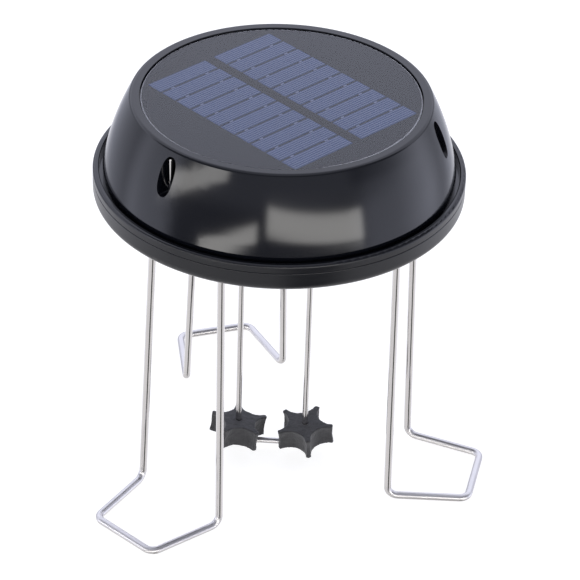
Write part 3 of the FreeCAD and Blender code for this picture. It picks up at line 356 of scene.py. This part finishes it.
def clear_resin(name):
    """The panel's cast cover: polished and faintly smoked, with a painted highlight on its rounded
    edge: a pale matt band.
    """
    f = Finish(name)
    haze = f.noise(60.0, 3.0)
    level = f.split(f.node("NewGeometry", output="Normal"))[2]
    # The rounded edge is picked out by how far its normal leans. It gets a pale matt band, a painted
    # highlight, mixed over the clear face.
    edge = f.fade(level, 0.0, 0.3) * (1 - f.fade(level, 0.90, 0.99))
    front = 1 - f.node("NewGeometry", output="Backfacing")
    painted_edge_highlight = f.node("BsdfDiffuse", inputs={"Color": f.mix(haze, (0.80, 0.81, 0.83),
                                                       (0.92, 0.93, 0.95))})
    mirror = f.principled({"Base Color": (0.97, 0.975, 1.0), "Metallic": 1.0,
                           "Roughness": 0.09 + 0.05 * haze})
    clear = f.node("BsdfTransparent", inputs={"Color": (COVER_TINT,) * 3})
    face = f.node("MixShader", inputs={0: f.node("Fresnel", inputs={"IOR": 1.5}) * front,
                                       1: clear, 2: mirror})
    return f.done(f.node("MixShader", inputs={0: edge * 0.8 * front, 1: face, 2: painted_edge_highlight}))


WALL_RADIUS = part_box("top_shell")[1].x
HOUSING_DARK = (0.0028, 0.0032, 0.0052)
HOUSING_LIGHT = (0.0048, 0.0054, 0.0080)
FINISHES = {
    "housing_black": gloss_plastic("housing_black", HOUSING_DARK, HOUSING_LIGHT),
    "seal_rubber": moulded("seal_rubber", (0.018, 0.018, 0.018), (0.034, 0.034, 0.034), 0.72),
    "screw_steel": plated("screw_steel", (0.50, 0.50, 0.48), (0.68, 0.68, 0.65), 0.24),
    "panel_clear": clear_resin("panel_clear"),
    "cell_silicon": silicon("cell_silicon"),
    "silver_print": silver_print("silver_print"),
    "tinned_copper": plated("tinned_copper", (0.55, 0.55, 0.53), (0.72, 0.72, 0.70), 0.30),
    "panel_backing": matt_board("panel_backing"),
    "adhesive": moulded("adhesive", (0.62, 0.62, 0.58), (0.78, 0.78, 0.74), 0.4),
    "stainless_wire": drawn_wire("stainless_wire"),
    "motor_steel": plated("motor_steel", (0.44, 0.44, 0.44), (0.62, 0.62, 0.62), 0.32),
    "bronze": moulded("bronze", (0.42, 0.26, 0.10), (0.62, 0.42, 0.20), 0.45, metal=1.0),
    "copper": plated("copper", (0.55, 0.22, 0.10), (0.76, 0.38, 0.20), 0.25),
    "white_plastic": moulded("white_plastic", (0.66, 0.66, 0.61), (0.80, 0.80, 0.76), 0.45),
    "magnet": moulded("magnet", (0.05, 0.05, 0.055), (0.13, 0.13, 0.14), 0.65),
    "battery_sleeve": gloss_plastic("battery_sleeve", (0.05, 0.22, 0.12), (0.08, 0.30, 0.17)),
    "spring_nickel": plated("spring_nickel", (0.60, 0.59, 0.55), (0.78, 0.77, 0.73), 0.16),
    "circuit_board": gloss_plastic("circuit_board", (0.01, 0.12, 0.04), (0.02, 0.20, 0.08)),
    "chip_black": moulded("chip_black", (0.018, 0.018, 0.018), (0.035, 0.035, 0.035), 0.6),
    "aluminium_can": plated("aluminium_can", (0.66, 0.66, 0.67), (0.80, 0.80, 0.81), 0.22),
    "switch_black": moulded("switch_black", (0.02, 0.02, 0.021), (0.035, 0.035, 0.036), 0.5),
    "switch_red": moulded("switch_red", (0.42, 0.015, 0.015), (0.56, 0.03, 0.03), 0.38),
    "lead_black": moulded("lead_black", (0.02, 0.02, 0.02), (0.034, 0.034, 0.034), 0.45),
    "lead_red": moulded("lead_red", (0.40, 0.02, 0.02), (0.52, 0.035, 0.03), 0.45),
    "foam_black": foam("foam_black"),
}
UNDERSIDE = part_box("battery_door")[0].z
FINISHES["housing_grained"] = gloss_plastic("housing_grained", HOUSING_DARK, HOUSING_LIGHT,
                                            UNDERSIDE + GRAIN_REACH)
SPECIAL_FINISHES = {"base_cover": "housing_grained", "battery_door": "housing_grained",
                    "rotor_hub": "housing_grained", "cell_ribbons": "silver_print"}


def dress_cad_nodes():
    for name, node in nodes.items():
        for slot in node.material_slots:
            finish = SPECIAL_FINISHES.get(name, slot.material.name.split(".")[0])
            slot.material = FINISHES[finish]


# ---- modelling helpers ---------------------------------------------------------------------------
def only(piece):
    """Selects one object and makes it active."""
    bpy.ops.object.select_all(action="DESELECT")
    piece.select_set(True)
    bpy.context.view_layer.objects.active = piece


def settle(piece, finish):
    """Puts the piece's place into its mesh, and gives it its finish."""
    only(piece)
    bpy.ops.object.transform_apply(location=True, rotation=True, scale=True)
    piece.data.materials.clear()
    piece.data.materials.append(FINISHES[finish])


def apply_modifier(piece, kind, **settings):
    only(piece)
    modifier = piece.modifiers.new(kind.title(), kind)
    for name, setting in settings.items():
        setattr(modifier, name, setting)
    bpy.ops.object.modifier_apply(modifier=modifier.name)


def joined(pieces, name):
    bpy.ops.object.select_all(action="DESELECT")
    for piece in pieces:
        piece.select_set(True)
    bpy.context.view_layer.objects.active = pieces[0]
    bpy.ops.object.join()
    pieces[0].name = name
    return pieces[0]


def merged_copy(node, name):
    """A copy of a CAD node's mesh, with its loose triangles joined."""
    piece = node.copy()
    piece.data = node.data.copy()
    piece.name = name
    for key in list(piece.keys()):
        del piece[key]
    piece.parent = None
    bpy.context.scene.collection.objects.link(piece)
    only(piece)
    bpy.ops.object.mode_set(mode="EDIT")
    bpy.ops.mesh.select_all(action="SELECT")
    bpy.ops.mesh.remove_doubles(threshold=WELD_GAP)
    bpy.ops.object.mode_set(mode="OBJECT")
    bpy.ops.mesh.customdata_custom_splitnormals_clear()
    return piece


# ---- foam stars ----------------------------------------------------------------------------------
def foam_star(node_name, name):
    """A die-cut star: walls drawn in at half thickness, softened rims, and an uneven skin."""
    node = nodes[node_name]
    up = Vector((0.0, 0.0, 0.0))
    for face in node.data.polygons:
        if face.normal.z > FACES_UP:
            up += face.normal * face.area
    up.normalize()
    piece = merged_copy(node, name)
    apply_modifier(piece, "REMESH", mode="VOXEL", voxel_size=FOAM_VOXEL, use_smooth_shade=True)
    apply_modifier(piece, "SMOOTH", factor=0.5, iterations=3)
    mesh = piece.data
    heights = [v.co.dot(up) for v in mesh.vertices]
    middle = (min(heights) + max(heights)) / 2
    half = (max(heights) - min(heights)) / 2
    wire = BVHTree.FromObject(nodes["agitator_wire"], bpy.context.evaluated_depsgraph_get())
    normals = [v.normal.copy() for v in mesh.vertices]
    for vertex, normal, height in zip(mesh.vertices, normals, heights):
        share = min(1.0, abs((height - middle) / half))
        outward = normal - up * normal.dot(up)
        place = vertex.co.copy()
        skin = noise.noise(place / FOAM_LUMP) + 0.5 * noise.noise(place / FOAM_PIT)
        vertex.co = place - outward * FOAM_PINCH * (1 - share ** 2) + normal * FOAM_SKIN * skin
        touch, away, face, gap = wire.find_nearest(vertex.co, WIRE_REACH)
        if touch is not None and (vertex.co - touch).dot(away) < FOAM_CLEARANCE:
            vertex.co = touch + away * FOAM_CLEARANCE
    bpy.ops.object.shade_smooth()
    settle(piece, "foam_black")
    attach(piece, "rotor")
    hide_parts(node_name)


# ---- solar cells' printed fingers ----------------------------------------------------------------
def cell_fingers():
    """Fine silver lines printed along each cell, set on its top face."""
    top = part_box("solar_cells")[1].z
    bpy.ops.object.select_all(action="DESELECT")
    bpy.ops.mesh.primitive_cube_add(size=1.0)
    master = bpy.context.object
    master.scale = (FINGER_WIDTH, CELL_LENGTH - 2 * FINGER_MARGIN, FINGER_HEIGHT)
    bpy.ops.object.transform_apply(location=False, rotation=False, scale=True)
    apply_modifier(master, "BEVEL", width=FINGER_BEVEL, segments=1)
    fingers = []
    turn = Matrix.Rotation(PANEL_TURN, 4, "Z")
    for row in range(CELL_ROWS):
        y = (row - (CELL_ROWS - 1) / 2) * (CELL_LENGTH + CELL_ROW_GAP)
        for column in range(CELL_COLUMNS):
            for index in range(FINGERS_PER_CELL):
                x = ((column - (CELL_COLUMNS - 1) / 2) * CELL_PITCH
                     + (index - (FINGERS_PER_CELL - 1) / 2) * FINGER_PITCH)
                finger = master.copy()
                finger.data = master.data.copy()
                bpy.context.scene.collection.objects.link(finger)
                finger.data.transform(turn @ Matrix.Translation((x, y, top + FINGER_HEIGHT / 2)))
                fingers.append(finger)
    bpy.data.objects.remove(master)
    piece = joined(fingers, "cell_fingers")
    settle(piece, "silver_print")
    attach(piece, "housing")


# ---- camera, light and stage ---------------------------------------------------------------------
def place_camera():
    camera = bpy.data.objects.new("camera", bpy.data.cameras.new("camera"))
    bpy.context.scene.collection.objects.link(camera)
    azimuth = math.radians(CAMERA_AZIMUTH)
    elevation = math.radians(CAMERA_ELEVATION)
    back = Vector((math.sin(azimuth) * math.cos(elevation),
                   -math.cos(azimuth) * math.cos(elevation), math.sin(elevation)))
    camera.location = Vector(CAMERA_AIM) + back * CAMERA_DISTANCE
    camera.rotation_mode = "QUATERNION"
    roll = Quaternion((0.0, 0.0, 1.0), math.radians(CAMERA_ROLL))
    camera.rotation_quaternion = (-back).to_track_quat("-Z", "Y") @ roll
    camera.data.lens = CAMERA_LENS
    camera.data.sensor_width = CAMERA_SENSOR
    bpy.context.scene.camera = camera


def facing(sky, direction, azimuth):
    """How far round from an azimuth a direction lies, in radians to either side."""
    turn = math.radians(azimuth)
    ahead = sky.dot(direction, (math.cos(turn), math.sin(turn), 0.0))
    beside = sky.dot(direction, (-math.sin(turn), math.cos(turn), 0.0))
    return sky.node("Math", {"operation": "ARCTAN2"}, {0: beside, 1: ahead})


def band(sky, offset, size, soft):
    """1 within a band of the given size in degrees, with soft edges."""
    half = math.radians(size / 2)
    edge = math.radians(soft / 2)
    return 1 - sky.fade(abs(offset), half - edge, half + edge)


def softbox(sky, direction, height, azimuth, elevation, width, tall, soft, brightness, climb):
    """One soft-edged panel of light at infinity."""
    across = facing(sky, direction, azimuth)
    above = height - math.radians(elevation) - climb * across
    return band(sky, across, width, soft) * band(sky, above, tall, soft) * brightness


def light_studio():
    world = bpy.data.worlds.new("studio")
    world.use_nodes = True
    bpy.context.scene.world = world
    sky = Shader(world.node_tree)
    direction = sky.node("TexCoord", output="Generated")
    up = sky.split(direction)[2]
    height = sky.node("Math", {"operation": "ARCSINE"}, {0: up})
    fill = AMBIENT + sky.fade(height, *map(math.radians, OVERHEAD_RISE)) * OVERHEAD
    for box in FILL_BOXES:
        fill = fill + softbox(sky, direction, height, *box)
    floor = 1 - sky.fade(height, *map(math.radians, FLOOR_RISE))
    azimuth, width, soft = FLOOR_GAP
    gap = band(sky, facing(sky, direction, azimuth), width, soft) * floor
    shine = floor * FLOOR_SHINE
    bright = sum(softbox(sky, direction, height, *box) for box in BRIGHT_BOXES)
    light = (fill + shine) * (1 - gap * FLOOR_GAP_DEPTH) + bright
    background = sky.node("Background", inputs={
        "Color": sky.mix((bright + shine) / light, COOL_LIGHT, WARM_LIGHT), "Strength": light})
    sky.node("OutputWorld", inputs={"Surface": background})
    bpy.context.scene.view_settings.view_transform = "Standard"


def floor_finish():
    """Pale card, open from below so that the underside can be looked at."""
    f = Finish("floor")
    tone = f.noise(6.0, 2.0)
    card = f.principled({"Base Color": f.mix(tone, (0.40, 0.40, 0.40), (0.44, 0.44, 0.44)),
                         "Roughness": 0.9, "Specular IOR Level": 0.0,
                         "Emission Color": (1.0, 1.0, 1.0), "Emission Strength": FLOOR_GLOW})
    clear = f.node("BsdfTransparent")
    return f.done(f.node("MixShader", inputs={0: f.node("NewGeometry", output="Backfacing"),
                                              1: card, 2: clear}))


def build_stage():
    bpy.ops.object.select_all(action="DESELECT")
    bpy.ops.mesh.primitive_circle_add(vertices=96, radius=FLOOR_RADIUS, fill_type="NGON",
                                      location=(0.0, 0.0, -FLOOR_DROP))
    floor = bpy.context.object
    floor.name = "floor"
    floor.data.materials.append(floor_finish())
    floor.visible_glossy = False
    bpy.ops.object.select_all(action="DESELECT")
    bpy.ops.mesh.primitive_uv_sphere_add(segments=48, ring_count=24, radius=BACKDROP_RADIUS)
    backdrop = bpy.context.object
    backdrop.name = "backdrop"
    glow = Finish("backdrop")
    backdrop.data.materials.append(glow.done(glow.node("Emission", inputs={"Strength": 1.0})))
    for ray in ("diffuse", "glossy", "transmission", "volume_scatter", "shadow"):
        setattr(backdrop, "visible_" + ray, False)


place_camera()
light_studio()
build_stage()
dress_cad_nodes()
foam_star("star_left", "foam_star_left")
foam_star("star_right", "foam_star_right")
cell_fingers()
